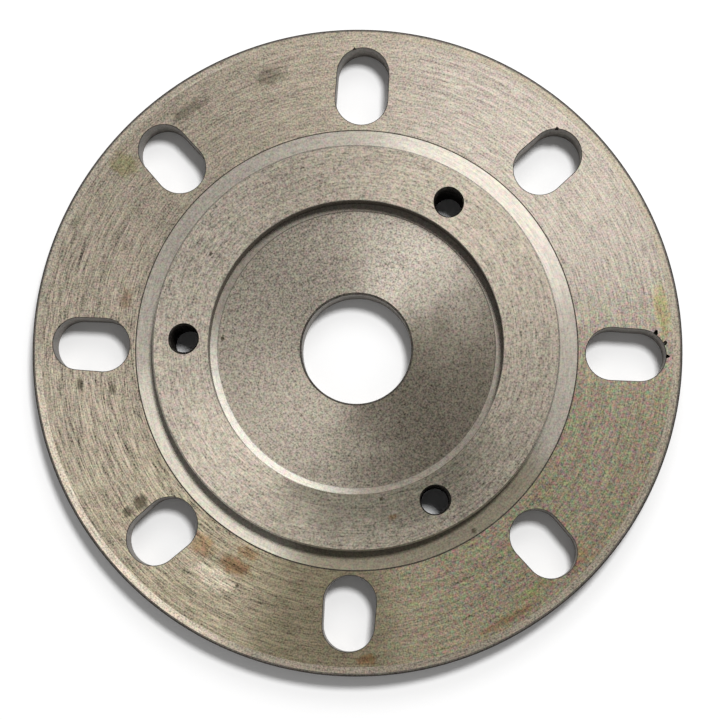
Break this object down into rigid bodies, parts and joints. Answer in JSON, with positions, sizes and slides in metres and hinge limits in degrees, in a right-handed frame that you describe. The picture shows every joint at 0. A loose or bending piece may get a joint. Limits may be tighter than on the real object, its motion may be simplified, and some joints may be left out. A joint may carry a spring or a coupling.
{
  "type": "lathe faceplate",
  "caption": "Round cast iron faceplate with a raised hub, a spindle register recess, through bore, radial clamping slots and tapped stud holes.",
  "frame": {"origin": "centre of the flat work face, on the axis of the bore", "axes": "+Z along the bore axis out of the spindle side; +X along the clamping slot nearest to zero degrees; +Y along the slot a quarter turn on, anticlockwise seen from +Z"},
  "size_m": [0.16, 0.16, 0.016],
  "materials": {
    "turned_iron": "turned, lightly oiled and stained with rust"
  },
  "bodies": {
    "root": {"faceplate": "turned_iron"}
  },
  "joints": []
}
